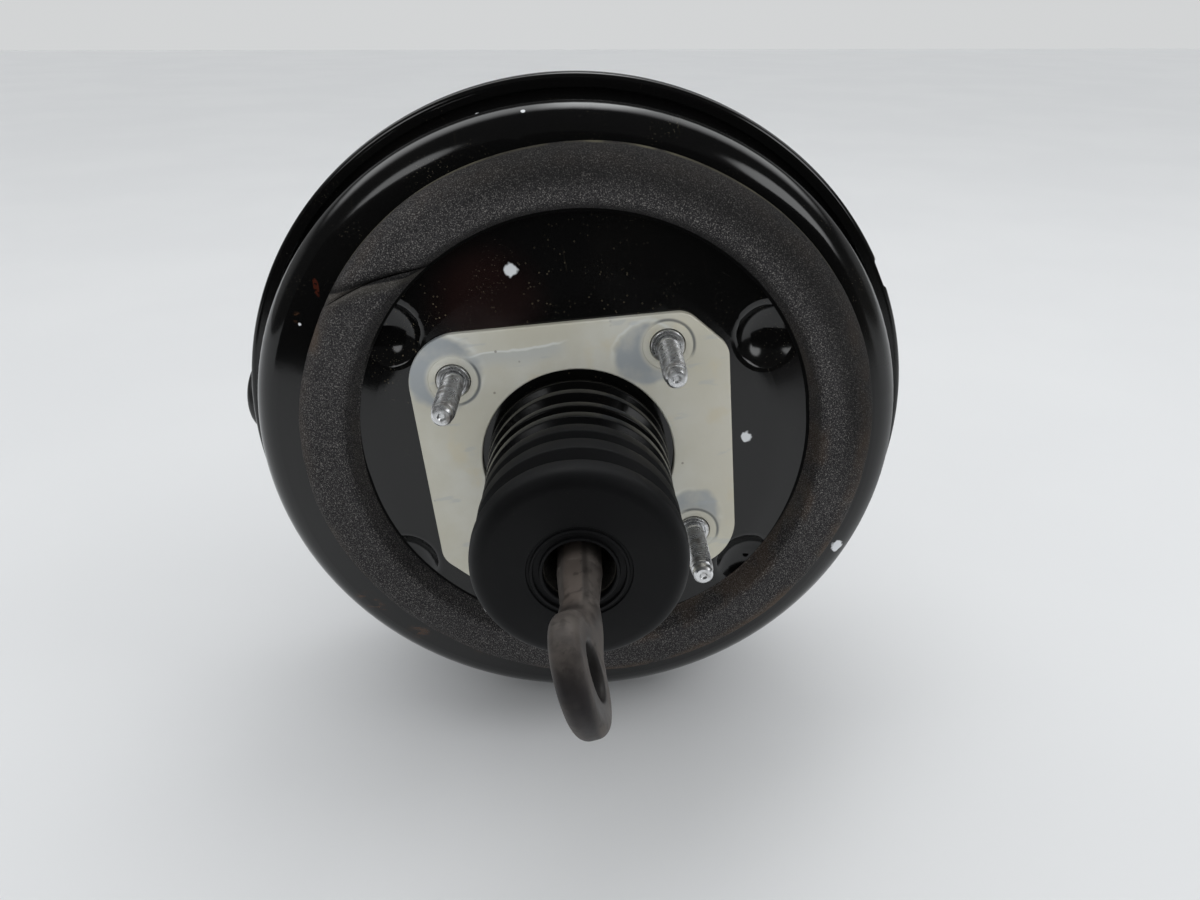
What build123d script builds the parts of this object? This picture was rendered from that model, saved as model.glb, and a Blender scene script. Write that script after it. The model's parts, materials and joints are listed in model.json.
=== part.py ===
from build123d import *
import os
from math import atan2, copysign, cos, degrees, radians, sin, tan

os.makedirs("parts", exist_ok=True)

# A single-diaphragm vacuum brake booster, in millimetres. Its axis is Y. The pedal side faces
# -Y, the master cylinder is bolted on at +Y, and Z is up. The origin is the centre of the
# mounting plate's face that meets the bulkhead. A station is a distance along Y.

# Clearances
running_gap = 0.05     # a shaft or piston in its guide
seat_gap = 0.3         # pieces at rest against one another that part in use
press_gap = 0.05       # rings held in a bore

# Mounting plate and its studs
plate_w = 117.6
plate_h = 108.4
plate_t = 2.5
plate_turn = -4.1      # the outline's turn against the stud pattern
plate_hole_r = 36.5
plate_round_r = 20.0
plate_chamfer = 14.5
plate_chamfer_round_r = 9.0
plate_edge_r = 0.6
stud_w = 79.0
stud_h = 79.0
stud_r = 4.0
stud_length = 32.0
stud_point_r = 3.2
stud_point_length = 3.6
stud_flange_r = 9.2
stud_flange_proud = 0.3
stud_head_r = 8.5
stud_head_t = 3.0
stud_shell_hole_r = 5.0
stud_edge_chamfer = 0.5

# Rear casing, a steel pressing
rear_sheet = 1.6
face_flat_r = 76.0
face_slope = 11.7      # degrees that the outer face falls away
face_bend_r = 30.0
shoulder_bend_r = 13.2
flange_bend_r = 2.6
flange_y = 38.0
neck_r = 27.0
neck_length = 22.5
neck_bend_r = 1.9
dimple_w = 140.0
dimple_h = 99.0
dimple_turn = -10.2
dimple_mouth_r = 12.2
dimple_depth = 5.6
dimple_edge_r = 3.2

# Front casing, a steel pressing rolled over the rear casing's flange
front_sheet = 1.8
rim_r = 134.0
rim_w = 7.4            # from the rear casing's wall out to the rim
rim_lip = 4.7
rim_bend_r = 2.3
front_wall_inset = 7.6
front_step_bend_r = 2.6
front_taper = 8.9
front_corner_y = 90.0
front_corner_bend_r = 16.0
front_cone_r = 66.0
front_cone_y = 99.0
front_cone_bend_r = 8.0
front_boss_r = 60.0
front_face_y = 106.0
front_boss_bend_r = 5.0
nose_r = 24.0
nose_depth = 14.0
nose_bend_r = 3.0
lock_count = 4
lock_first_angle = 17.6
lock_w = 13.0
lock_depth = 1.1

# Sound gasket of foam on the rear face, glued on a little off centre
foam_outer_r = 110.0
foam_w = 23.0
foam_t = 12.0
foam_x = 3.5
foam_z = 4.5
foam_glue = 0.2

# Diaphragm and its plate
bead_t = 4.5
rubber_t = 1.6
loop_r = 2.6
disc_sheet = 1.5
disc_back_y = 17.0
disc_rim_gap = 11.5    # room for the diaphragm's rolling loop
disc_rim_bend_r = 9.0
disc_rim_end_y = 42.0
inner_bead_w = 4.6
inner_bead_t = 3.6
pad_r = 5.0

# Valve body, the moulding that carries the pedal force
tail_r = 19.8
tail_wall = 2.6
land_r = 28.0
land_back_y = 11.0
land_lip = 1.4
land_lip_t = 2.2
hub_flange_r = 38.0
hub_flange_t = 4.0
barrel_r = 24.5
barrel_end_y = 42.0
web_back_y = -4.0
seat_ring_r = 14.4
seat_ring_w = 2.0
seat_ring_end_y = -9.5
port_r = 2.1
port_circle_r = 16.6
disc_pocket_y = 28.0

# Plunger, reaction disc and output rod
plunger_r = 8.0
plunger_travel = 1.5
plunger_head_r = 11.0
plunger_head_y = -10.0
plunger_head_t = 4.5
reaction_disc_r = 12.4
reaction_disc_t = 7.0
reaction_gap = 1.8     # plunger to reaction disc at rest
output_rod_r = 6.5
output_rod_end_y = 112.0
output_head_t = 5.0
rod_tip_r = 4.0
rod_tip_reach = 8.0
rod_tip_socket = 9.0
retainer_t = 0.8
retainer_fingers = 6

# Stop key
key_t = 3.0
key_w = 15.0
key_slot_r = 5.0
key_reach = 31.0

# Input rod
ball_r = 5.0
ball_y = -1.0
rod_neck_r = 3.6
rod_neck_end_y = -15.0
rod_r = 7.0
rod_taper_y = -78.0
rod_waist_r = 5.75
rod_waist_y = -94.0
rod_collar_r = 10.4
rod_collar_y = -45.0
rod_collar_t = 2.2
rod_flat = 0.45        # depth of the flats forged along the taper
rod_flat_count = 6
rod_flat_turn = 4.5
eye_y = -122.6
eye_r = 16.8
eye_t = 8.6
eye_roll = 8.0         # the rod turns freely in its socket, and the eye rests rolled by this angle
eye_hole_r = 7.6
eye_round_r = 3.4
eye_hole_chamfer = 0.8
eye_root_w = 11.8
eye_root_h = 15.5
eye_root_y = -104.0
eye_join_w = 9.4
eye_join_h = 25.0
eye_join_y = -113.6

# Poppet valve and the springs around the input rod
poppet_r = 16.0
poppet_hole_r = 6.6
poppet_t = 2.4
poppet_tube_r = 15.4
poppet_tube_wall = 1.0
poppet_foot_t = 1.6
poppet_length = 14.0
cup_t = 0.9
cup_length = 6.0
cup_hole_r = 10.2
cup_bend_r = 1.4
poppet_spring_r = 12.6
poppet_wire_r = 0.6
poppet_turns = 4
input_spring_r = 12.4
input_spring_end_r = 9.4
input_wire_r = 0.8
input_turns = 5
filter_inner_r = 11.1
filter_back_y = -73.2
filter_length = 14.0
silencer_t = 4.0

# Neck seal and guide
guide_y = -1.0
guide_length = 7.0
seal_length = 9.0
seal_lip_w = 1.6
seal_web_t = 2.6
clip_t = 1.2
clip_w = 4.2

# Return spring
return_wire_r = 1.7
return_spring_r = 30.4
return_turns = 5

# Dust boot
boot_t = 1.2
boot_folds = 6
boot_first_peak_y = -4.0
boot_last_peak_y = -54.8
boot_peak_r = 33.8
boot_land_w = 4.0
boot_valley_r = 28.9
boot_foot_y = 0.4
boot_web_y = -0.6
boot_foot_t = 2.0
cap_r = 34.6
cap_y = -76.5
cap_length = 9.8
cap_round_r = 5.5
cap_face_t = 2.4
cap_hole_r = 11.4
cap_collar_t = 2.4
cap_collar_length = 9.0
cap_groove_r = 16.4
cap_groove_w = 2.6
cap_groove_depth = 0.8

# Nose seal and master cylinder studs
nose_seal_t = 5.0
nose_seal_inset = 13.0
nose_ring_t = 1.2
nose_ring_w = 6.0
brace_t = 3.0
brace_r = 55.0
master_stud_gap = 90.0
master_stud_r = 4.0
master_stud_length = 25.0
master_shank_r = 4.8
master_head_r = 7.5
master_head_t = 3.0

# Check valve in the front casing's side, square to its wall; heights are above the wall
valve_angle = 170.6
valve_y = 66.0
valve_r = 17.0
valve_h = 15.0
valve_round_r = 2.6
valve_stem_r = 8.0
valve_stem_length = 8.2
valve_seam_r = 17.9
valve_seam_t = 2.4
nozzle_r = 5.2
nozzle_bore_r = 3.4
nozzle_length = 30.0
nozzle_h = 9.0
nozzle_barb = 0.9
nozzle_barb_pitch = 5.0
nozzle_barbs = 3
grommet_r = 15.0
grommet_hole_r = 12.0
grommet_lip_t = 2.4
grommet_grip_r = 13.4
grommet_depth = 5.6

# Sizes that follow
face_y = plate_t
nose_seal_y = front_face_y - nose_seal_inset
slope = tan(radians(face_slope))
shell_r = rim_r - rim_w
front_wall_r = rim_r - front_wall_inset
front_corner_r = front_wall_r - front_taper
disc_rim_r = shell_r - rear_sheet - disc_rim_gap
tail_end_y = cap_y + cap_face_t + seat_gap
tail_bore_r = tail_r - tail_wall
neck_bore_r = neck_r - rear_sheet
key_y = face_y + rear_sheet + seat_gap
neck_end_y = face_y - neck_length
rubber_back_y = disc_back_y - rubber_t
hub_flange_y = disc_back_y + disc_sheet
hub_front_y = hub_flange_y + hub_flange_t
front_step_y = flange_y + rear_sheet + bead_t + front_sheet
rear_flange_r = rim_r - rim_bend_r - running_gap
plunger_front_y = disc_pocket_y - reaction_gap
output_head_y = disc_pocket_y + reaction_disc_t
brace_y = front_face_y - front_sheet - brace_t
poppet_y = plunger_head_y - seat_gap
cup_y = poppet_y - poppet_length
key_groove_back_y = key_y - plunger_travel - seat_gap
key_groove_front_y = key_y + key_t + seat_gap
seal_y = guide_y - guide_length - press_gap
draft = atan2(front_wall_r - front_corner_r, front_corner_y - front_step_y)
valve_wall_r = front_wall_r - (valve_y - front_step_y) * tan(draft)


def station(y, turn=0):
    """A plane across the axis at y, seen from the pedal side and turned anticlockwise."""
    across = (cos(radians(turn)), 0, sin(radians(turn)))
    return Plane(origin=(0, y, 0), x_dir=across, z_dir=(0, -1, 0))


def face_at(r):
    """The station of the rear casing's sloping outer face at radius r."""
    return face_y + (r - face_flat_r) * slope


# The check valve's own plane: its origin on the casing's wall, its normal square to the wall
valve_out = Vector(cos(radians(valve_angle)), 0, sin(radians(valve_angle)))
valve_plane = Plane(
    origin=valve_out * valve_wall_r + Vector(0, valve_y, 0),
    x_dir=Vector(0, cos(draft), 0) - valve_out * sin(draft),
    z_dir=valve_out * cos(draft) + Vector(0, sin(draft), 0),
)

# The dimples stop the diaphragm: its pads stand a seat gap in front of their tops
dimple_top_y = face_at((dimple_w**2 + dimple_h**2)**0.5 / 2) + dimple_depth + rear_sheet
dimple_sphere_r = (dimple_mouth_r**2 + dimple_depth**2) / (2 * dimple_depth)
dimple_centre_y = dimple_top_y - rear_sheet - dimple_sphere_r
pad_length = rubber_back_y - seat_gap - dimple_top_y
dimple_plane = station(dimple_centre_y, dimple_turn)

# Rear casing: the pressed form less the same form one sheet inside it
with BuildPart() as rear_hollow:
    with BuildSketch():
        with BuildLine():
            skin = FilletPolyline(
                (neck_bore_r, neck_end_y - rear_sheet),
                (neck_bore_r, face_y + rear_sheet),
                (face_flat_r - rear_sheet * tan(radians(face_slope / 2)), face_y + rear_sheet),
                (shell_r - rear_sheet, face_at(shell_r - rear_sheet) + rear_sheet / cos(radians(face_slope))),
                (shell_r - rear_sheet, flange_y + rear_sheet),
                radius=[neck_bend_r + rear_sheet, face_bend_r - rear_sheet, shoulder_bend_r - rear_sheet],
            )
            Polyline(skin @ 1, (0, flange_y + rear_sheet), (0, neck_end_y - rear_sheet), skin @ 0)
        make_face()
    revolve(axis=Axis.Y)
    with Locations(dimple_plane):
        with GridLocations(dimple_w, dimple_h, 2, 2):
            Sphere(dimple_sphere_r + rear_sheet, mode=Mode.SUBTRACT)
    fillet(rear_hollow.edges(Select.NEW), dimple_edge_r - rear_sheet)

with BuildPart() as rear_shell:
    with BuildSketch():
        with BuildLine():
            skin = FilletPolyline(
                (neck_r, neck_end_y),
                (neck_r, face_y),
                (face_flat_r, face_y),
                (shell_r, face_at(shell_r)),
                (shell_r, flange_y),
                (rear_flange_r, flange_y),
                radius=[neck_bend_r, face_bend_r, shoulder_bend_r, flange_bend_r],
            )
            Polyline(
                skin @ 1,
                (rear_flange_r, flange_y + rear_sheet),
                (0, flange_y + rear_sheet),
                (0, neck_end_y),
                skin @ 0,
            )
        make_face()
    revolve(axis=Axis.Y)
    with Locations(dimple_plane):
        with GridLocations(dimple_w, dimple_h, 2, 2):
            Sphere(dimple_sphere_r, mode=Mode.SUBTRACT)
    fillet(rear_shell.edges(Select.NEW), dimple_edge_r)
    add(rear_hollow.part, mode=Mode.SUBTRACT)
    with BuildSketch(station(face_y + rear_sheet)):
        with GridLocations(stud_w, stud_h, 2, 2):
            Circle(stud_shell_hole_r)
    extrude(amount=rear_sheet, mode=Mode.SUBTRACT)

# Front casing: one sheet profile from the rolled lip to the nose, revolved
with BuildPart() as front_shell:
    with BuildSketch():
        with BuildLine():
            FilletPolyline(
                (rim_r - rim_lip, flange_y - front_sheet),
                (rim_r, flange_y - front_sheet),
                (rim_r, front_step_y),
                (front_wall_r, front_step_y),
                (front_corner_r, front_corner_y),
                (front_cone_r, front_cone_y),
                (front_boss_r, front_face_y),
                (nose_r, front_face_y),
                (nose_r, front_face_y - nose_depth),
                radius=[
                    rim_bend_r,
                    rim_bend_r,
                    front_step_bend_r,
                    front_corner_bend_r,
                    front_cone_bend_r,
                    front_boss_bend_r,
                    nose_bend_r,
                ],
            )
            offset(amount=front_sheet, side=Side.LEFT)
        make_face()
    revolve(axis=Axis.Y)
    # Flats where the rolled rim is staked against turning
    with Locations(station((flange_y + front_step_y) / 2, lock_first_angle)):
        with PolarLocations(rim_r, lock_count):
            Box(2 * lock_depth, lock_w, rim_r, mode=Mode.SUBTRACT)
    # Holes for the master cylinder studs and the check valve's grommet
    with BuildSketch(station(front_face_y)):
        with GridLocations(master_stud_gap, 0, 2, 1):
            Circle(master_shank_r + press_gap)
    extrude(amount=front_sheet, mode=Mode.SUBTRACT)
    with BuildSketch(valve_plane):
        Circle(grommet_hole_r)
    extrude(amount=valve_h, both=True, mode=Mode.SUBTRACT)

# Mounting plate: two opposite corners are round, the other two cut off
with BuildPart() as mounting_plate:
    with BuildSketch(station(plate_t, plate_turn)) as plate_outline:
        Rectangle(plate_w, plate_h)
        fillet(plate_outline.vertices().filter_by(lambda v: v.X * v.Y < 0), plate_round_r)
        chamfer(plate_outline.vertices().filter_by(lambda v: v.X * v.Y > 0), plate_chamfer)
        fillet(plate_outline.vertices().filter_by(lambda v: v.X * v.Y > 0), plate_chamfer_round_r)
        Circle(plate_hole_r, mode=Mode.SUBTRACT)
    extrude(amount=plate_t)
    fillet(mounting_plate.faces().sort_by(Axis.Y)[0].edges(), plate_edge_r)
    with BuildSketch(station(plate_t)):
        with GridLocations(stud_w, stud_h, 2, 2):
            Circle(stud_flange_r + press_gap)
    extrude(amount=plate_t, mode=Mode.SUBTRACT)

# Mounting studs: head inside the casing, flange let into the plate, thread and dog point
with BuildPart() as firewall_studs:
    for start_y, length, radius in (
        (face_y + rear_sheet + stud_head_t, stud_head_t, stud_head_r),
        (face_y + rear_sheet, rear_sheet, stud_shell_hole_r - press_gap),
        (plate_t, plate_t + stud_flange_proud, stud_flange_r),
        (-stud_flange_proud, stud_length - stud_point_length - stud_flange_proud, stud_r),
        (stud_point_length - stud_length, stud_point_length, stud_point_r),
    ):
        with BuildSketch(station(start_y)):
            with GridLocations(stud_w, stud_h, 2, 2):
                Circle(radius)
        extrude(amount=length)
    rims = firewall_studs.edges().filter_by(GeomType.CIRCLE).group_by(Axis.Y)
    chamfer(rims[0], stud_edge_chamfer)
    chamfer(rims[1].filter_by(lambda e: e.radius > stud_point_r), stud_r - stud_point_r - press_gap)

# Sound gasket: an off-centre ring cut to the casing's slope behind, and alongside it in front
with BuildPart() as foam_gasket:
    with BuildSketch(station(flange_y)):
        with Locations((foam_x, foam_z)):
            Circle(foam_outer_r)
            Circle(foam_outer_r - foam_w, mode=Mode.SUBTRACT)
    extrude(amount=flange_y + foam_t)
    with BuildSketch():
        with BuildLine():
            Polyline(
                (0, face_at(0) - foam_glue),
                (rim_r, face_at(rim_r) - foam_glue),
                (rim_r, rim_r),
                (0, rim_r),
                close=True,
            )
        make_face()
        with BuildLine():
            Polyline(
                (0, face_at(0) - foam_glue - foam_t),
                (rim_r, face_at(rim_r) - foam_glue - foam_t),
                (rim_r, -rim_r),
                (0, -rim_r),
                close=True,
            )
        make_face()
    revolve(axis=Axis.Y, mode=Mode.SUBTRACT)

# Diaphragm plate: a pressed cup whose rim carries the rolling rubber
with BuildPart() as diaphragm_plate:
    with BuildSketch():
        with BuildLine():
            FilletPolyline(
                (land_r + press_gap, disc_back_y),
                (disc_rim_r, disc_back_y),
                (disc_rim_r, disc_rim_end_y),
                radius=disc_rim_bend_r,
            )
            offset(amount=disc_sheet, side=Side.LEFT)
        make_face()
    revolve(axis=Axis.Y)

# Diaphragm: inner bead on the hub, sheet behind the plate, loop over its rim, outer bead, stop pads
loop_out_r = front_wall_r - front_sheet - seat_gap
loop_y = flange_y + rear_sheet + bead_t + loop_r + rubber_t
with BuildPart() as diaphragm:
    with BuildSketch():
        with BuildLine():
            FilletPolyline(
                (land_r + press_gap, disc_back_y),
                (disc_rim_r, disc_back_y),
                (disc_rim_r, loop_y),
                (loop_out_r, loop_y),
                (loop_out_r, flange_y + rear_sheet + bead_t / 2),
                radius=[disc_rim_bend_r, loop_r + rubber_t, loop_r + rubber_t],
            )
            offset(amount=rubber_t, side=Side.RIGHT)
        make_face()
        with Locations((land_r + press_gap, disc_back_y)):
            Rectangle(inner_bead_w, inner_bead_t, align=(Align.MIN, Align.MAX))
        with Locations((rear_flange_r, flange_y + rear_sheet)):
            Rectangle(rear_flange_r - loop_out_r + rubber_t, bead_t, align=(Align.MAX, Align.MIN))
    revolve(axis=Axis.Y)
    with Locations(station(rubber_back_y, dimple_turn)):
        with GridLocations(dimple_w, dimple_h, 2, 2):
            Cylinder(pad_r, pad_length, align=(Align.CENTER, Align.CENTER, Align.MIN))

# Valve body: tail tube, land for the diaphragm, flange, barrel, and the bores inside
with BuildPart() as valve_body:
    with BuildSketch():
        with BuildLine():
            Polyline(
                (tail_bore_r, tail_end_y),
                (tail_r, tail_end_y),
                (tail_r, land_back_y),
                (land_r + land_lip, land_back_y),
                (land_r + land_lip, land_back_y + land_lip_t),
                (land_r, land_back_y + land_lip_t),
                (land_r, hub_flange_y),
                (hub_flange_r, hub_flange_y),
                (hub_flange_r, hub_front_y),
                (barrel_r, hub_front_y),
                (barrel_r, barrel_end_y),
                (reaction_disc_r + press_gap, barrel_end_y),
                (reaction_disc_r + press_gap, disc_pocket_y),
                (plunger_r + running_gap, disc_pocket_y),
                (plunger_r + running_gap, web_back_y),
                (seat_ring_r - seat_ring_w, web_back_y),
                (seat_ring_r - seat_ring_w, seat_ring_end_y),
                (seat_ring_r, seat_ring_end_y),
                (seat_ring_r, web_back_y),
                (tail_bore_r, web_back_y),
                close=True,
            )
        make_face()
    revolve(axis=Axis.Y)
    # Two vacuum passages from the front chamber to the valve
    with BuildSketch(station(barrel_end_y)):
        with GridLocations(2 * port_circle_r, 0, 2, 1):
            Circle(port_r)
    extrude(amount=barrel_end_y - web_back_y, mode=Mode.SUBTRACT)
    # Slot for the stop key, which also lets air into the rear chamber
    with BuildSketch(station(key_y + key_t + running_gap)):
        with Locations((0, plunger_head_r)):
            Rectangle(
                key_w + 2 * running_gap,
                plunger_head_r + key_reach,
                align=(Align.CENTER, Align.MAX),
            )
    extrude(amount=key_t + 2 * running_gap, mode=Mode.SUBTRACT)

# Stop key: a flat fork astride the plunger's groove
with BuildPart() as stop_key:
    with BuildSketch(station(key_y + key_t)):
        with Locations((0, plunger_head_r - running_gap)):
            Rectangle(
                key_w,
                plunger_head_r - running_gap + key_reach,
                align=(Align.CENTER, Align.MAX),
            )
        Circle(key_slot_r + seat_gap, mode=Mode.SUBTRACT)
        Rectangle(
            2 * (key_slot_r + seat_gap),
            plunger_head_r,
            align=(Align.CENTER, Align.MIN),
            mode=Mode.SUBTRACT,
        )
    extrude(amount=key_t)

# Plunger: stem, groove for the key, valve head, and the socket for the input rod's ball
with BuildPart() as plunger:
    with BuildSketch():
        with BuildLine():
            Polyline(
                (0, plunger_front_y),
                (plunger_r, plunger_front_y),
                (plunger_r, key_groove_front_y),
                (key_slot_r, key_groove_front_y),
                (key_slot_r, key_groove_back_y),
                (plunger_r, key_groove_back_y),
                (plunger_r, plunger_head_y + plunger_head_t),
                (plunger_head_r, plunger_head_y + plunger_head_t),
                (plunger_head_r, plunger_head_y),
                (0, plunger_head_y),
                close=True,
            )
        make_face()
    revolve(axis=Axis.Y)
    with Locations((0, ball_y, 0)):
        Sphere(ball_r + running_gap, mode=Mode.SUBTRACT)
    with BuildSketch(station(ball_y)):
        Circle(ball_r - seat_gap)
    extrude(amount=ball_y - plunger_head_y, mode=Mode.SUBTRACT)

# Input rod: its eye first, a forged ring with well rounded rims
eye_plane = Plane(
    origin=(0, eye_y, 0),
    x_dir=(0, -1, 0),
    z_dir=(cos(radians(eye_roll)), 0, sin(radians(eye_roll))),
)
with BuildPart() as rod_eye:
    with BuildSketch(eye_plane):
        Circle(eye_r)
    extrude(amount=eye_t / 2, both=True)
    fillet(rod_eye.edges().filter_by(GeomType.CIRCLE), eye_round_r)

# Then its taper, a cone with forged flats
with BuildPart() as rod_taper:
    with BuildSketch(station(rod_taper_y)):
        Circle(rod_r)
    with BuildSketch(station(rod_waist_y)):
        Circle(rod_waist_r)
    loft()
    with BuildSketch(station(rod_taper_y, rod_flat_turn)):
        RegularPolygon(rod_r - rod_flat, rod_flat_count, major_radius=False)
    with BuildSketch(station(rod_waist_y, rod_flat_turn)):
        RegularPolygon(rod_waist_r - rod_flat, rod_flat_count, major_radius=False)
    loft(mode=Mode.INTERSECT)

# Then ball, neck, shank with a spring collar, taper, and the root of the eye
with BuildPart() as input_rod:
    with Locations((0, ball_y, 0)):
        Sphere(ball_r)
    with BuildSketch():
        with BuildLine():
            Polyline(
                (0, ball_y),
                (rod_neck_r, ball_y),
                (rod_neck_r, rod_neck_end_y),
                (rod_r, rod_neck_end_y - rod_neck_r),
                (rod_r, rod_collar_y),
                (rod_collar_r, rod_collar_y),
                (rod_collar_r, rod_collar_y - rod_collar_t),
                (rod_r, rod_collar_y - rod_collar_t),
                (rod_r, rod_taper_y),
                (0, rod_taper_y),
                close=True,
            )
        make_face()
    revolve(axis=Axis.Y)
    add(rod_taper.part)
    with BuildSketch(station(rod_waist_y)):
        Circle(rod_waist_r)
    with BuildSketch(station(eye_root_y, eye_roll)):
        RectangleRounded(eye_root_w, eye_root_h, eye_root_w / 2 - seat_gap)
    with BuildSketch(station(eye_join_y, eye_roll)):
        RectangleRounded(eye_join_w, eye_join_h, eye_join_w / 2 - seat_gap)
    loft()
    add(rod_eye.part)
    with BuildSketch(eye_plane):
        Circle(eye_hole_r)
    extrude(amount=eye_t, both=True, mode=Mode.SUBTRACT)
    eye_rims = input_rod.edges().filter_by(GeomType.CIRCLE)
    chamfer(eye_rims.filter_by(lambda e: e.radius == eye_hole_r), eye_hole_chamfer)

# Poppet valve: a rubber face on a soft tube, its foot held by a pressed cup
with BuildPart() as poppet_valve:
    with BuildSketch():
        with BuildLine():
            Polyline(
                (poppet_hole_r, poppet_y),
                (poppet_r, poppet_y),
                (poppet_r, poppet_y - poppet_t),
                (poppet_tube_r, poppet_y - poppet_t),
                (poppet_tube_r, cup_y + poppet_foot_t),
                (tail_bore_r - press_gap, cup_y + poppet_foot_t),
                (tail_bore_r - press_gap, cup_y),
                (poppet_tube_r - poppet_tube_wall, cup_y),
                (poppet_tube_r - poppet_tube_wall, poppet_y - poppet_t),
                (poppet_hole_r, poppet_y - poppet_t),
                close=True,
            )
        make_face()
    revolve(axis=Axis.Y)

with BuildPart() as poppet_cup:
    with BuildSketch():
        with BuildLine():
            FilletPolyline(
                (tail_bore_r - press_gap, cup_y - cup_length),
                (tail_bore_r - press_gap, cup_y),
                (cup_hole_r, cup_y),
                radius=cup_bend_r,
            )
            offset(amount=cup_t, side=Side.LEFT)
        make_face()
    revolve(axis=Axis.Y)

# Springs: each is a wire swept along a helix between its two seats
poppet_spring_start = poppet_y - poppet_t - poppet_wire_r - press_gap
poppet_spring_end = cup_y + poppet_wire_r + press_gap
with BuildPart() as poppet_spring:
    with BuildLine() as poppet_coil:
        poppet_spring_height = poppet_spring_start - poppet_spring_end
        Helix(
            poppet_spring_height / poppet_turns,
            poppet_spring_height,
            poppet_spring_r,
            center=(0, poppet_spring_start, 0),
            direction=(0, -1, 0),
        )
    with BuildSketch(poppet_coil.line ^ 0):
        Circle(poppet_wire_r)
    sweep(is_frenet=True)

input_spring_start = cup_y - cup_t - input_wire_r - press_gap
input_spring_end = rod_collar_y + input_wire_r + seat_gap
with BuildPart() as input_spring:
    with BuildLine() as input_coil:
        input_spring_height = input_spring_start - input_spring_end
        Helix(
            input_spring_height / input_turns,
            input_spring_height,
            input_spring_r,
            center=(0, input_spring_start, 0),
            direction=(0, -1, 0),
            cone_angle=-degrees(atan2(input_spring_r - input_spring_end_r, input_spring_height)),
        )
    with BuildSketch(input_coil.line ^ 0):
        Circle(input_wire_r)
    sweep(is_frenet=True)

return_spring_start = hub_front_y + return_wire_r + seat_gap
return_spring_end = brace_y - return_wire_r - seat_gap
with BuildPart() as return_spring:
    with BuildLine() as return_coil:
        return_spring_height = return_spring_end - return_spring_start
        Helix(
            return_spring_height / return_turns,
            return_spring_height,
            return_spring_r,
            center=(0, return_spring_start, 0),
            direction=(0, 1, 0),
        )
    with BuildSketch(return_coil.line ^ 0):
        Circle(return_wire_r)
    sweep(is_frenet=True)

# Air filter and silencer in the tail, around the input rod
with BuildPart() as air_filter:
    with BuildSketch(station(filter_back_y + filter_length)):
        Circle(tail_bore_r - press_gap)
        Circle(filter_inner_r, mode=Mode.SUBTRACT)
    extrude(amount=filter_length)

with BuildPart() as silencer:
    with BuildSketch(station(filter_back_y + filter_length + silencer_t + press_gap)):
        Circle(tail_bore_r - press_gap)
        Circle(filter_inner_r, mode=Mode.SUBTRACT)
    extrude(amount=silencer_t)

# In the neck: plastic guide, lipped seal and the clip that holds them
with BuildPart() as neck_guide:
    with BuildSketch(station(guide_y)):
        Circle(neck_bore_r - press_gap)
        Circle(tail_r + running_gap, mode=Mode.SUBTRACT)
    extrude(amount=guide_length)

with BuildPart() as neck_seal:
    with BuildSketch():
        with BuildLine():
            Polyline(
                (tail_r + running_gap, seal_y - seal_length),
                (tail_r + running_gap, seal_y),
                (neck_bore_r - press_gap, seal_y),
                (neck_bore_r - press_gap, seal_y - seal_length),
                (neck_bore_r - press_gap - seal_lip_w, seal_y - seal_length),
                (neck_bore_r - press_gap - seal_lip_w, seal_y - seal_web_t),
                (tail_r + running_gap + seal_lip_w, seal_y - seal_web_t),
                (tail_r + running_gap + seal_lip_w / 2, seal_y - seal_length),
                close=True,
            )
        make_face()
    revolve(axis=Axis.Y)

with BuildPart() as neck_clip:
    with BuildSketch(station(seal_y - seal_length - press_gap)):
        Circle(neck_bore_r - press_gap)
        Circle(neck_bore_r - press_gap - clip_w, mode=Mode.SUBTRACT)
    extrude(amount=clip_t)

# Reaction disc, output rod with its cupped head, threaded tip, and the rod's spring retainer
with BuildPart() as reaction_disc:
    with BuildSketch(station(disc_pocket_y + reaction_disc_t)):
        Circle(reaction_disc_r)
    extrude(amount=reaction_disc_t)

with BuildPart() as output_rod:
    with BuildSketch(station(output_head_y + output_head_t)):
        Circle(reaction_disc_r)
    extrude(amount=output_head_t)
    with BuildSketch(station(output_rod_end_y)):
        Circle(output_rod_r)
    extrude(amount=output_rod_end_y - output_head_y - output_head_t)
    fillet(output_rod.edges().filter_by(GeomType.CIRCLE).group_by(Axis.Y)[-2], output_head_t / 2)
    with BuildSketch(station(output_rod_end_y)):
        Circle(rod_tip_r + running_gap)
    extrude(amount=rod_tip_socket, mode=Mode.SUBTRACT)

with BuildPart() as rod_tip:
    with BuildSketch(station(output_rod_end_y + rod_tip_reach)):
        Circle(rod_tip_r)
    extrude(amount=rod_tip_reach + rod_tip_socket)
    fillet(rod_tip.edges().filter_by(GeomType.CIRCLE).group_by(Axis.Y)[-1], rod_tip_r - seat_gap)

with BuildPart() as rod_retainer:
    with BuildSketch(station(barrel_end_y + retainer_t)):
        Circle(barrel_r)
        Circle(output_rod_r + seat_gap, mode=Mode.SUBTRACT)
        with PolarLocations((output_rod_r + barrel_r) / 2, retainer_fingers):
            Rectangle(barrel_r - 2 * output_rod_r, output_rod_r / 2, mode=Mode.SUBTRACT)
    extrude(amount=retainer_t)

# Inside the nose: brace plate, studs for the master cylinder, seal and its ring
with BuildPart() as brace_plate:
    with BuildSketch(station(brace_y + brace_t)):
        Circle(brace_r)
        Circle(nose_r + nose_bend_r + seat_gap, mode=Mode.SUBTRACT)
        with GridLocations(master_stud_gap, 0, 2, 1):
            Circle(master_shank_r + press_gap, mode=Mode.SUBTRACT)
    extrude(amount=brace_t)

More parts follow.
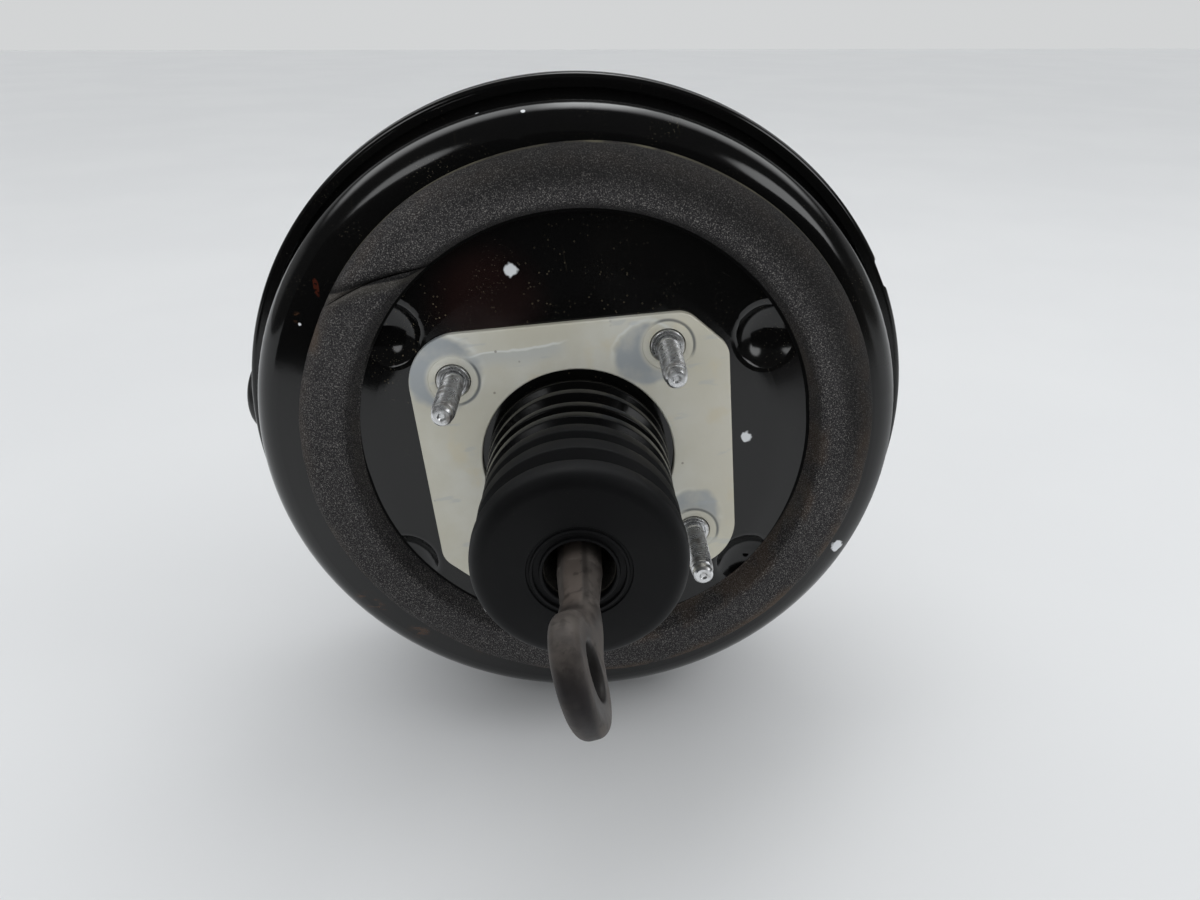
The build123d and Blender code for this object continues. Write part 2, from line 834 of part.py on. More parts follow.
with BuildPart() as master_studs:
    for start_y, length, radius in (
        (brace_y, master_head_t, master_head_r),
        (front_face_y - press_gap, front_face_y - press_gap - brace_y, master_shank_r),
        (front_face_y + master_stud_length, master_stud_length + press_gap, master_stud_r),
    ):
        with BuildSketch(station(start_y)):
            with GridLocations(master_stud_gap, 0, 2, 1):
                Circle(radius)
        extrude(amount=length)
    chamfer(
        master_studs.edges().filter_by(GeomType.CIRCLE).group_by(Axis.Y)[-1],
        stud_edge_chamfer,
    )

with BuildPart() as nose_seal:
    with BuildSketch(station(nose_seal_y + nose_seal_t)):
        Circle(nose_r - press_gap)
        Circle(output_rod_r + running_gap, mode=Mode.SUBTRACT)
    extrude(amount=nose_seal_t)

with BuildPart() as nose_ring:
    with BuildSketch(station(nose_seal_y + nose_seal_t + nose_ring_t + press_gap)):
        Circle(nose_r - press_gap)
        Circle(nose_r - press_gap - nose_ring_w, mode=Mode.SUBTRACT)
    extrude(amount=nose_ring_t)

# Check valve: drum with a welded seam, stem through the grommet, barbed hose nozzle
valve_base_h = grommet_lip_t + press_gap + seat_gap
with BuildPart(valve_plane) as check_valve:
    with Locations((0, 0, valve_base_h)):
        Cylinder(valve_r, valve_h, align=(Align.CENTER, Align.CENTER, Align.MIN))
    fillet(check_valve.edges().filter_by(GeomType.CIRCLE), valve_round_r)
    with Locations((0, 0, valve_base_h + (valve_h - valve_seam_t) / 2)):
        Cylinder(valve_seam_r, valve_seam_t, align=(Align.CENTER, Align.CENTER, Align.MIN))
    with Locations((0, 0, valve_base_h)):
        Cylinder(valve_stem_r, valve_stem_length, align=(Align.CENTER, Align.CENTER, Align.MAX))
    with Locations(Location((0, 0, valve_base_h + nozzle_h), (0, 90, 0))):
        Cylinder(nozzle_r, valve_r + nozzle_length, align=(Align.CENTER, Align.CENTER, Align.MIN))
        with Locations((0, 0, valve_r + nozzle_length - nozzle_barbs * nozzle_barb_pitch)):
            for barb in range(nozzle_barbs):
                with Locations((0, 0, barb * nozzle_barb_pitch)):
                    Cone(
                        nozzle_r + nozzle_barb,
                        nozzle_r,
                        nozzle_barb_pitch,
                        align=(Align.CENTER, Align.CENTER, Align.MIN),
                    )
        Cylinder(
            nozzle_bore_r,
            valve_r + nozzle_length,
            align=(Align.CENTER, Align.CENTER, Align.MIN),
            mode=Mode.SUBTRACT,
        )
    with Locations((0, 0, valve_base_h + nozzle_h)):
        Cylinder(
            nozzle_bore_r,
            nozzle_h + valve_base_h + valve_stem_length,
            align=(Align.CENTER, Align.CENTER, Align.MAX),
            mode=Mode.SUBTRACT,
        )

with BuildPart(valve_plane) as valve_grommet:
    with Locations((0, 0, press_gap)):
        Cylinder(grommet_r, grommet_lip_t, align=(Align.CENTER, Align.CENTER, Align.MIN))
        Cylinder(
            grommet_hole_r - press_gap,
            grommet_depth,
            align=(Align.CENTER, Align.CENTER, Align.MAX),
        )
    with Locations((0, 0, press_gap - grommet_depth)):
        Cylinder(grommet_grip_r, grommet_lip_t, align=(Align.CENTER, Align.CENTER, Align.MIN))
    Cylinder(valve_stem_r + press_gap, rim_r / 2, mode=Mode.SUBTRACT)

# Dust boot: foot on the neck, bellows, and a cap that grips the tail
boot_pitch = (boot_first_peak_y - boot_last_peak_y) / (boot_folds - 1)
boot_foot_r = neck_r + press_gap + boot_foot_t
cap_back_y = cap_y + cap_length
boot_web_angle = atan2(boot_peak_r - boot_valley_r, (boot_pitch - boot_land_w) / 2)
boot_tuck = boot_t * tan(boot_web_angle / 2)
with BuildPart() as dust_boot:
    with BuildSketch():
        with BuildLine():
            outside = [(boot_foot_r, boot_foot_y), (boot_foot_r, boot_web_y)]
            inside = [(neck_r + press_gap, boot_foot_y), (neck_r + press_gap, boot_web_y - boot_foot_t)]
            for fold in range(boot_folds):
                peak_y = boot_first_peak_y - fold * boot_pitch
                valley_y = peak_y - boot_pitch / 2
                for end in (boot_land_w / 2, -boot_land_w / 2):
                    outside.append((boot_peak_r, peak_y + end))
                    inside.append((boot_peak_r - boot_t, peak_y + end - copysign(boot_tuck, end)))
                outside.append((boot_valley_r, valley_y))
                inside.append((boot_valley_r - boot_t, valley_y + boot_tuck))
                inside.append((boot_valley_r - boot_t, valley_y - boot_tuck))
            outside.append((cap_r, cap_back_y))
            inside.append((cap_r - boot_t, cap_back_y - boot_tuck))
            inside.reverse()
            Polyline(*outside, *inside, close=True)
        make_face()
    revolve(axis=Axis.Y)
    with BuildSketch():
        with BuildLine():
            FilletPolyline(
                (cap_hole_r, cap_y),
                (cap_r, cap_y),
                (cap_r, cap_back_y),
                radius=cap_round_r,
            )
            Polyline(
                (cap_r, cap_back_y),
                (cap_r - boot_t, cap_back_y),
                (cap_r - boot_t, cap_y + cap_round_r),
                (cap_r - cap_round_r, cap_y + cap_face_t),
                (tail_r + press_gap + cap_collar_t, cap_y + cap_face_t),
                (tail_r + press_gap + cap_collar_t, cap_y + cap_face_t + cap_collar_length),
                (tail_r + press_gap, cap_y + cap_face_t + cap_collar_length),
                (tail_r + press_gap, cap_y + cap_face_t),
                (cap_hole_r, cap_y + cap_face_t),
                (cap_hole_r, cap_y),
            )
        make_face()
    revolve(axis=Axis.Y)
    with BuildSketch(station(cap_y + cap_groove_depth)):
        Circle(cap_groove_r)
        Circle(cap_groove_r - cap_groove_w, mode=Mode.SUBTRACT)
    extrude(amount=cap_groove_depth, mode=Mode.SUBTRACT)

pieces = {
    "rear_shell": rear_shell,
    "front_shell": front_shell,
    "mounting_plate": mounting_plate,
    "firewall_studs": firewall_studs,
    "foam_gasket": foam_gasket,
    "diaphragm_plate": diaphragm_plate,
    "diaphragm": diaphragm,
    "valve_body": valve_body,
    "stop_key": stop_key,
    "plunger": plunger,
    "input_rod": input_rod,
    "poppet_valve": poppet_valve,
    "poppet_cup": poppet_cup,
    "poppet_spring": poppet_spring,
    "input_spring": input_spring,
    "return_spring": return_spring,
    "air_filter": air_filter,
    "silencer": silencer,
    "neck_guide": neck_guide,
    "neck_seal": neck_seal,
    "neck_clip": neck_clip,
    "reaction_disc": reaction_disc,
    "output_rod": output_rod,
    "rod_tip": rod_tip,
    "rod_retainer": rod_retainer,
    "brace_plate": brace_plate,
    "master_studs": master_studs,
    "nose_seal": nose_seal,
    "nose_ring": nose_ring,
    "check_valve": check_valve,
    "valve_grommet": valve_grommet,
    "dust_boot": dust_boot,
}
for node, piece in pieces.items():
    piece.part.label = node
    export_step(piece.part, f"parts/{node}.step")
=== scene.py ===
import bpy
import bmesh
import json
from math import atan2, cos, exp, hypot, pi, radians, sin, tan
from mathutils import Matrix, Vector, noise


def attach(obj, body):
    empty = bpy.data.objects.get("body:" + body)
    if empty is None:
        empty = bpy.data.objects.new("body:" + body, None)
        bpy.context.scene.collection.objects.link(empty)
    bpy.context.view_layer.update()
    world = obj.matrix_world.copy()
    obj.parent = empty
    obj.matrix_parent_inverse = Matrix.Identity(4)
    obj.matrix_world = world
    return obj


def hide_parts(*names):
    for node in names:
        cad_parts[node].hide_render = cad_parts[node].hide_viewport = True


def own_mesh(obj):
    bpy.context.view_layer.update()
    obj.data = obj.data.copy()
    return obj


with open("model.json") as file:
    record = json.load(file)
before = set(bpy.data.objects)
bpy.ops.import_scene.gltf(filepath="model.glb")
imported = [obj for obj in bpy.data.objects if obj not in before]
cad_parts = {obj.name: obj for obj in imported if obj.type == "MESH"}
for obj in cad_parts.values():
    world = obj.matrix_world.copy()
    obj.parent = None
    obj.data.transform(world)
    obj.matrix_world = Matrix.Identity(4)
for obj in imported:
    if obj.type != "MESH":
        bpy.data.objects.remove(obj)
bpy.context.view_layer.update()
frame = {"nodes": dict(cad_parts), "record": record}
nodes = frame["nodes"]
mm = 0.001
studOffset = 39.5                                      # each mounting stud stands this far across and up
gasketCentre = (3.8, 4.9)                              # off the booster's axis
eyeStation = -122.6                                    # along the axis, to the middle of the rod's eye


# Shader maths: a Wire is one output of a node, and an expression on wires adds Math nodes
class Wire:
    def __init__(self, board, socket):
        self.board = board
        self.socket = socket

    def maths(self, operation, first, second):
        return self.board.add("ShaderNodeMath", {"operation": operation}, {0: first, 1: second})

    def __add__(self, other):
        return self.maths("ADD", self, other)

    __radd__ = __add__

    def __sub__(self, other):
        return self.maths("SUBTRACT", self, other)

    def __rsub__(self, other):
        return self.maths("SUBTRACT", other, self)

    def __mul__(self, other):
        return self.maths("MULTIPLY", self, other)

    __rmul__ = __mul__

    def above(self, other):
        return self.maths("MAXIMUM", self, other)

    def below(self, other):
        return self.maths("MINIMUM", self, other)

    def steps(self, low, high, start=0.0, end=1.0):    # a smooth rise from start to end
        settings = {"interpolation_type": "SMOOTHSTEP"}
        sockets = {"Value": self, "From Min": low, "From Max": high, "To Min": start, "To Max": end}
        return self.board.add("ShaderNodeMapRange", settings, sockets)


class Board:                                           # the nodes of one material, or of the world
    def __init__(self, name, owner=None, coordinates="Object"):
        self.owner = owner or bpy.data.materials.new(name)
        self.owner.use_nodes = True
        self.tree = self.owner.node_tree
        self.tree.nodes.clear()
        self.place = self.add("ShaderNodeTexCoord", out=coordinates)

    def add(self, kind, settings=None, sockets=None, out=0):
        made = self.tree.nodes.new(kind)
        for name, value in (settings or {}).items():
            setattr(made, name, value)
        for name, value in (sockets or {}).items():
            if isinstance(value, Wire):
                self.tree.links.new(value.socket, made.inputs[name])
            else:
                made.inputs[name].default_value = value
        return Wire(self, made.outputs[out]) if made.outputs else None

    def blend(self, factor, first, second):            # mixes two colours
        return self.add("ShaderNodeMix", {"data_type": "RGBA"}, {0: factor, 6: first, 7: second}, 2)

    def grain(self, scale, detail=3.0, rough=0.55, stretch=None, turn=(0, 0, 0)):
        place = self.place
        if stretch:
            place = self.add("ShaderNodeMapping", {}, {"Vector": place, "Scale": stretch, "Rotation": turn})
        sockets = {"Vector": place, "Scale": scale, "Detail": detail, "Roughness": rough}
        return self.add("ShaderNodeTexNoise", {}, sockets)

    def cells(self, scale):
        return self.add("ShaderNodeTexVoronoi", {"feature": "F1"}, {"Vector": self.place, "Scale": scale}, "Distance")

    def axes(self):
        return [self.add("ShaderNodeSeparateXYZ", {}, {0: self.place}, i) for i in range(3)]

    def vectors(self, operation, first, second):       # a number from two vectors
        return self.add("ShaderNodeVectorMath", {"operation": operation}, {0: first, 1: second}, "Value")

    def distance(self, spot, place=None):
        return self.vectors("DISTANCE", place or self.place, spot)

    def near(self, spot, reach, soft=0.25, wobble=None):    # 1 at a spot, 0 beyond reach
        there = self.distance(spot)
        if wobble:
            there = there + (wobble - 0.5) * reach
        return there.steps(reach, reach * (1 - soft), 0.0, 1.0)

    def bumped(self, height, distance, strength=1.0, before=None):
        sockets = {"Strength": strength, "Distance": distance, "Height": height}
        if before:
            sockets["Normal"] = before
        return self.add("ShaderNodeBump", {}, sockets)

    def finish(self, **sockets):                       # the surface itself, with named sockets
        named = {name.replace("_", " "): value for name, value in sockets.items()}
        shader = self.add("ShaderNodeBsdfPrincipled", {}, named)
        self.add("ShaderNodeOutputMaterial", {}, {"Surface": shader})
        return self.owner


def grey(value, warm=0.0):
    return (value * (1 + warm), value, value * (1 - warm), 1)


paint = {
    "black": grey(0.0035),
    "brown": (0.0115, 0.0050, 0.0045, 1),
    "dust": (0.23, 0.195, 0.13, 1),
    "rust": (0.065, 0.027, 0.012, 1),
    "white": (0.72, 0.74, 0.76, 1),
    "red": (0.085, 0.018, 0.009, 1),
    "tan": (0.075, 0.036, 0.018, 1),
    "brownPatch": ((-0.022, 0.0025, 0.066), 0.026),
    "dustPatches": (((-0.045, 0.0025, 0.052), 0.030, 1.0), ((0.010, 0.0025, 0.055), 0.045, 0.45)),
    "chips": (                                         # places and sizes of the white spots
        ((-0.0109, 0.0026, 0.0756), 0.0027),
        ((0.0643, 0.0025, -0.0032), 0.0024),
        ((0.0986, 0.0115, -0.0653), 0.0029),
        ((-0.0912, 0.0105, 0.0669), 0.0007),
        ((-0.0131, 0.0226, 0.1259), 0.0009),
        ((0.0030, 0.0166, 0.1245), 0.0009),
    ),
    "stains": (
        ((-0.1010, 0.0107, -0.0562), 0.0062),
        ((-0.0980, 0.0107, -0.0609), 0.0050),
        ((-0.0835, 0.0105, -0.0765), 0.0060),
        ((-0.0545, 0.0086, -0.0903), 0.0085),
        ((-0.0905, 0.0105, 0.0691), 0.0034),
    ),
    "fleck": (-0.0812, 0.0106, 0.0236),                # an upright oval: its heights are shrunk, this one too
    "fleckShrink": 0.30,
}


def glossBlack():                                      # stoved paint on both casings
    board = Board("glossBlack")
    x, y, z = board.axes()
    smudge = board.grain(14, 5)
    patch = board.grain(60, 2)
    specks = board.cells(1100).steps(0.15, 0.05) * patch.steps(0.5, 0.7)
    upper = z.steps(-0.02, 0.05)
    film = smudge.steps(0.45, 0.8) * 0.012 * upper
    patches = sum(board.near(spot, reach, 0.8) * share for spot, reach, share in paint["dustPatches"])
    dust = board.cells(520).steps(0.20, 0.10) * board.grain(95, 3).steps(0.44, 0.56) * patches
    fibres = board.grain(26, 2, stretch=(22, 1, 1), turn=(0.2, 0.1, 0.9)).steps(0.73, 0.76)
    rust = board.grain(38, 6).steps(0.58, 0.68) * z.steps(-0.095, -0.122) * y.steps(0.018, 0.032)
    tint = board.near(*paint["brownPatch"], 0.6) * smudge.steps(0.3, 0.6)
    colour = board.blend(tint, paint["black"], paint["brown"])
    dusty = film + specks * (0.35 + 0.55 * upper) + dust * 0.8 + fibres * 0.03
    colour = board.blend(dusty.below(1.0), colour, paint["dust"])
    colour = board.blend(rust * 0.5, colour, paint["rust"])
    wobble = board.grain(420, 1)
    for spot, reach in paint["chips"]:
        colour = board.blend(board.near(spot, reach, 0.3, wobble), colour, paint["white"])
    squeezed = {"Vector": board.place, "Scale": (1, 1, paint["fleckShrink"])}
    thin = board.add("ShaderNodeMapping", {"vector_type": "POINT"}, squeezed)
    fleck = (board.distance(paint["fleck"], thin) + (wobble - 0.5) * 0.0011).steps(0.0013, 0.0009)
    colour = board.blend(fleck * board.grain(700, 2).steps(0.35, 0.55) * 0.6, colour, paint["red"])
    smear = board.grain(120, 4, stretch=(1, 1, 2.6), turn=(0, 0.7, 0)).steps(0.50, 0.60)
    stain = 0
    for spot, reach in paint["stains"]:
        stain = board.near(spot, reach, 0.5).above(stain)
    colour = board.blend(stain * smear * 0.55, colour, paint["tan"])
    dull = x.steps(0.070, 0.108) * z.steps(0.040, -0.020)
    rough = smudge.steps(0.3, 0.75, 0.09, 0.17) + specks * 0.3 + rust * 0.4 + dull * 0.26
    waves = board.bumped(board.grain(55, 2), 0.00010, 0.5)
    peel = board.bumped(board.grain(700, 2), 0.000008, 0.5, waves)
    return board.finish(Base_Color=colour, Roughness=rough, Normal=peel, IOR=1.5)


zinc = {
    "cream": (0.60, 0.580, 0.485, 1),
    "pale": (0.69, 0.685, 0.62, 1),
    "yellow": (0.66, 0.60, 0.44, 1),
    "grease": (0.335, 0.370, 0.405, 1),
    "greaseRim": (0.82, 0.85, 0.84, 1),
    # the dark gap ring round each stud's flange, painted darker on one side as shade
    "shadedGap": (0.050, 0.065, 0.085, 1),
    "tan": (0.52, 0.46, 0.33, 1),
    "grey": (0.44, 0.47, 0.49, 1),
    "dirt": (0.16, 0.13, 0.10, 1),
    "scratchShade": (0.47, 0.51, 0.54, 1),
    "scratchLight": (0.84, 0.87, 0.87, 1),
    "scratch": (0.0470, -0.012, -2.6),                 # height, middle and bend of its bow
    "smears": (                                        # stud, middle of the smear, reach, slope that picks the side of the gap ring painted as shade
        ((-1, 1), (-0.0425, 0, 0.0435), 0.0150, -0.45),
        ((1, 1), (0.0320, 0, 0.0385), 0.0130, 0.75),
        ((1, -1), (0.0390, 0, -0.0330), 0.0125, 0.75),
    ),
}


def zincPlate():                                       # passivated zinc, cream to warm grey, with dried greasy smears
    board = Board("zincPlate")
    x, _, z = board.axes()
    cloud = board.grain(26, 6)
    fine = board.grain(900, 2)
    colour = board.blend(cloud.steps(0.35, 0.68), zinc["cream"], zinc["pale"])
    colour = board.blend(board.grain(60, 4).steps(0.55, 0.72) * 0.5, colour, zinc["yellow"])
    warp = board.grain(52, 3)
    smears = edge = shadedGaps = 0
    for (side, height), middle, reach, slope in zinc["smears"]:
        centre = (side * studOffset * mm, 0, height * studOffset * mm)
        away = board.distance(centre)
        bent = board.distance(middle) + (warp - 0.5) * 0.013
        smears = (bent.steps(reach, reach - 0.0030) * away.steps(0.0086, 0.0112)).above(smears)
        fringe = bent.steps(reach + 0.0012, reach) * bent.steps(reach - 0.0014, reach)
        edge = (fringe * warp.steps(0.42, 0.62)).above(edge)
        # a dark gap ring round each stud's flange, darkened only on one side as painted shade
        shadedGap = away.steps(0.0106, 0.0097) * away.steps(0.0088, 0.0095)
        part = ((x - centre[0]) * 0.9 + (z - centre[2]) * slope).steps(0.0012, 0.0070)
        shadedGaps = (shadedGap * part).above(shadedGaps)
    height, middle, bend = zinc["scratch"]
    line = (z - height + (x - middle) * (x - middle) * bend + (warp - 0.5) * 0.006)
    along = x.steps(-0.036, -0.030) * x.steps(0.006, -0.002)
    # painted shade in a band below the scratch, and a thin painted highlight along its upper edge
    shade = line.steps(-0.0075, -0.0010) * line.steps(0.0, -0.0006) * along * 0.45
    colour = board.blend(shade, colour, zinc["scratchShade"])
    light = line.steps(-0.0006, 0.0) * line.steps(0.0007, 0.0001) * along * 0.6
    colour = board.blend(light, colour, zinc["scratchLight"])
    greasy = smears * board.grain(70, 4).steps(0.30, 0.58, 0.45, 1.0) * 0.85
    colour = board.blend(greasy, colour, zinc["grease"])
    colour = board.blend(edge * 0.5, colour, zinc["greaseRim"])
    colour = board.blend(shadedGaps * 0.8, colour, zinc["shadedGap"])
    colour = board.blend(x.steps(0.030, 0.055) * cloud.steps(0.30, 0.62) * 0.30, colour, zinc["tan"])
    streak = board.grain(40, 3, stretch=(1, 1, 3.4), turn=(0, 0.5, 0)).steps(0.60, 0.66)
    colour = board.blend(streak * 0.35, colour, zinc["grey"])
    spots = board.cells(160).steps(0.10, 0.06) * board.grain(40, 1).steps(0.52, 0.60)
    colour = board.blend(spots * 0.6, colour, zinc["dirt"])
    rough = cloud.steps(0.3, 0.7, 0.36, 0.52) + fine.steps(0.3, 0.8, 0.0, 0.06) - smears * 0.12
    bump = board.bumped(board.grain(240, 4), 0.00004, 0.6)
    return board.finish(Base_Color=colour, Metallic=0.10, Roughness=rough, Normal=bump)


def brightZinc():                                      # plated fasteners, dirt in the thread
    board = Board("brightZinc")
    wear = board.grain(260, 4)
    colour = board.blend(wear.steps(0.45, 0.72), (0.78, 0.7878, 0.7956, 1), grey(0.312, 0.06))
    rough = wear.steps(0.3, 0.7, 0.20, 0.42)
    bump = board.bumped(board.grain(1500, 2), 0.00001, 0.5)
    return board.finish(Base_Color=colour, Metallic=0.90, Roughness=rough, Normal=bump)


foamLook = {
    "black": (0.036, 0.0345, 0.036, 1),
    "grey": (0.050, 0.048, 0.0495, 1),
    "pore": (0.009, 0.0085, 0.009, 1),
    "sparkle": (0.23, 0.22, 0.21, 1),
    "brown": (0.105, 0.070, 0.045, 1),
    "shade": (0.011, 0.0105, 0.0100, 1),
    "dust": (0.140, 0.130, 0.090, 1),
    # the lip below the foam's joint: some dust, and a painted highlight
    "wornAndLit": (0.095, 0.088, 0.075, 1),
    "innerDust": (0.085, 0.075, 0.060, 1),
    "seam": (0.0812, -0.045, 3.84),                    # height, where it starts to bend, how much it bends
}


def foamBlack():                                       # fine foam with a sparkling skin, dusty along its edges
    board = Board("foamBlack")
    x, y, z = board.axes()
    cell = board.cells(1700)
    grit = board.grain(2300, 2, 0.7)
    cloud = board.grain(22, 5)
    patch = board.grain(55, 4)
    flat = board.add("ShaderNodeCombineXYZ", {}, {0: x, 2: z})
    away = board.distance((gasketCentre[0] * mm, 0, gasketCentre[1] * mm), flat)
    ragged = away + (board.grain(260, 4) - 0.5) * 0.004
    colour = board.blend(cloud.steps(0.35, 0.7), foamLook["black"], foamLook["grey"])
    colour = board.blend(cell.steps(0.30, 0.62) * 0.6, colour, foamLook["pore"])
    colour = board.blend(grit.steps(0.54, 0.66) * 0.85, colour, foamLook["sparkle"])
    lowerRight = (x - z).steps(0.02, 0.13)
    brown = ragged.steps(0.1005, 0.1065) * (0.25 + lowerRight * 0.75) * patch.steps(0.36, 0.62)
    brown = brown * y.steps(0.006, -0.003, 0.35, 1.0)
    brown = (brown + ragged.steps(0.0925, 0.0885) * lowerRight * patch.steps(0.40, 0.60) * 0.6).below(1.0)
    brown = (brown + board.near((-0.084, 0.003, 0.064), 0.009, 0.7, patch) * 0.8).below(1.0)
    colour = board.blend(brown * 0.52, colour, foamLook["brown"])
    # painted shade on the outer band at the upper right, where the foam rounds away from the light
    shade = away.steps(0.0935, 0.1010) * (x + z).steps(0.055, 0.110)
    colour = board.blend(shade * 0.62, colour, foamLook["shade"])
    fringe = y.steps(0.0060, 0.0086) * ragged.steps(0.1066, 0.1084) * (0.30 + 0.70 * cloud.steps(0.35, 0.6))
    colour = board.blend(fringe * patch.steps(0.32, 0.48) * 0.72, colour, foamLook["dust"])
    height, start, bend = foamLook["seam"]
    bow = (start - x).above(0.0)
    seam = z - height + bow * bow * bend
    local = x.steps(-0.030, -0.036) * z.steps(0.060, 0.068)
    # painted shadow in the crease above the joint, and below it a painted highlight, with some dust, on the raised
    # lip
    dark = seam.steps(-0.0004, 0.0002) * seam.steps(0.0032, 0.0004) * local
    colour = board.blend(dark * 0.80, colour, grey(0.005))
    wornAndLit = seam.steps(-0.0050, -0.0008) * seam.steps(0.0001, -0.0004) * local
    colour = board.blend(wornAndLit * 0.45, colour, foamLook["wornAndLit"])
    inner = ragged.steps(0.0885, 0.0868) * cloud.steps(0.40, 0.62)
    colour = board.blend(inner * 0.25, colour, foamLook["innerDust"])
    # painted shadow: a thin black line along the inner edge, and the inner base darkened where the foam meets the
    # casing
    colour = board.blend(away.steps(0.0856, 0.0851), colour, grey(0.002))
    colour = board.blend(y.steps(0.0037, 0.0042) * away.steps(0.0920, 0.0905), colour, grey(0.002))
    bump = board.bumped(grit + cell * -0.8, 0.00030, 0.9)
    return board.finish(Base_Color=colour, Roughness=0.92, Normal=bump, Specular_IOR_Level=0.15)


def bootRubber():                                      # glossy by the plate, bloomed and matt towards the cap
    board = Board("bootRubber")
    x, y, z = board.axes()
    far = y.steps(-0.026, -0.050)
    cloud = board.grain(45, 6)
    colour = board.blend(far * cloud.steps(0.25, 0.75, 0.5, 1.0), grey(0.0016), (0.0034, 0.0036, 0.0043, 1))
    around = board.grain(36, 3, stretch=(1, 0.15, 1))
    gunk = y.steps(-0.002, -0.008) * y.steps(-0.034, -0.024) * around.steps(0.46, 0.60)
    gunk = gunk * board.cells(1500).steps(0.34, 0.12)
    specks = board.cells(1200).steps(0.13, 0.05) * board.grain(80, 2).steps(0.48, 0.62)
    gunk = gunk * (0.12 + (x - z).steps(0.012, 0.034) + (x * -1 + z * 0.4).steps(0.024, 0.032) * 0.5).below(1.0)
    colour = board.blend((gunk * 0.65 + specks * 0.30).below(1.0), colour, (0.115, 0.092, 0.060, 1))
    rough = far.steps(0.0, 1.0, 0.12, 0.50) + cloud.steps(0.3, 0.7, 0.0, 0.10) + gunk * 0.5
    bump = board.bumped(board.grain(1100, 3), 0.00003, 0.6)
    return board.finish(Base_Color=colour, Roughness=rough.below(1.0), Normal=bump, Specular_IOR_Level=0.20)


forging = {
    "dark": (0.036, 0.030, 0.027, 1),
    "pale": (0.088, 0.075, 0.066, 1),
    "wornAndLit": (0.140, 0.125, 0.115, 1),
    "lowerDark": (0.014, 0.012, 0.014, 1),
    "holeShade": (0.012, 0.011, 0.011, 1),
    "litFacet": (0.125, 0.100, 0.085, 1),
    "shadow": (0.022, 0.018, 0.016, 1),
    "pit": (0.020, 0.017, 0.015, 1),
    "weld": 0.000005,
    "voxel": 0.00045,
    "passes": 2,
    "strength": 0.5,
}


def forgedSteel():                                     # dull brown-grey forging, worn smooth
    board = Board("forgedSteel")
    x, y, z = board.axes()
    cloud = board.grain(120, 6)
    patch = board.grain(42, 4)
    pits = board.grain(300, 4)
    colour = board.blend(cloud.steps(0.35, 0.65), forging["dark"], forging["pale"])
    colour = board.blend(patch.steps(0.46, 0.66) * 0.50, colour, forging["wornAndLit"])
    upright = board.add("ShaderNodeCombineXYZ", {}, {1: y, 2: z})
    radial = board.distance((0, eyeStation * mm, 0), upright)
    # the eye painted darker towards its lower part
    lower = (y * -1 + eyeStation * mm - z).steps(-0.006, 0.010) * x.steps(0.0042, 0.0026)
    colour = board.blend(lower * patch.steps(0.75, 0.45) * 0.85, colour, forging["lowerDark"])
    # the bore of the rod's eye painted dark, as shade
    colour = board.blend(radial.steps(0.0088, 0.0079) * y.steps(-0.110, -0.114) * 0.85, colour, forging["holeShade"])
    # on the shank, one flat painted lighter as if lit and the one beside it painted darker as its shade
    shank = y.steps(-0.064, -0.069) * y.steps(-0.103, -0.097)
    litFacet = x.steps(-0.0044, -0.0036) * x.steps(0.0020, 0.0010) * shank
    colour = board.blend(litFacet * 0.55, colour, forging["litFacet"])
    shadow = x.steps(0.0014, 0.0024) * x.steps(0.0040, 0.0028) * shank
    colour = board.blend(shadow * 0.60, colour, forging["shadow"])
    colour = board.blend(pits.steps(0.56, 0.66) * 0.45, colour, forging["pit"])
    rough = cloud.steps(0.3, 0.7, 0.46, 0.66)
    bump = board.bumped(pits, 0.00014, 0.9)
    return board.finish(Base_Color=colour, Metallic=0.35, Roughness=rough, Normal=bump)


def plain(name, colour, rough, metallic=0.0, scale=400):    # for hidden pieces
    board = Board(name)
    cloud = board.grain(scale / 6, 5)
    shade = board.blend(cloud.steps(0.3, 0.75) * 0.5, colour, [c * 0.6 for c in colour[:3]] + [1])
    wear = cloud.steps(0.3, 0.7, rough - 0.06, rough + 0.08)
    bump = board.bumped(board.grain(scale, 3), 0.00003, 0.6)
    return board.finish(Base_Color=shade, Metallic=metallic, Roughness=wear, Normal=bump)


def feltDirty():                                       # matted fibres, grey with dust
    board = Board("feltDirty")
    strand = board.grain(900, 3, stretch=(1, 1, 5))
    colour = board.blend(strand.steps(0.3, 0.7), (0.012, 0.011, 0.010, 1), (0.050, 0.044, 0.034, 1))
    return board.finish(Base_Color=colour, Roughness=0.95, Normal=board.bumped(strand, 0.0004, 1.0))


looks = {
    "black_paint": glossBlack(),
    "zinc_plate": zincPlate(),
    "stud_steel": brightZinc(),
    "foam": foamBlack(),
    "boot_rubber": bootRubber(),
    "seal_rubber": plain("sealRubber", grey(0.02), 0.6),
    "phenolic": plain("phenolicBlack", grey(0.022, 0.1), 0.45),
    "valve_plastic": plain("valvePlastic", grey(0.018), 0.35, scale=900),
    "nylon": plain("naturalNylon", (0.62, 0.58, 0.48, 1), 0.5),
    "forged_steel": forgedSteel(),
    "pressed_steel": plain("pressedSteel", grey(0.42, 0.03), 0.38, 1.0),
    "spring_steel": plain("springSteel", grey(0.16), 0.35, 1.0),
    "felt": feltDirty(),
}
slots = {part["node"]: part["material_slot"] for part in frame["record"]["subparts"]}
for name, node in nodes.items():
    node.data.materials.clear()
    node.data.materials.append(looks[slots[name]])
print("materials done")


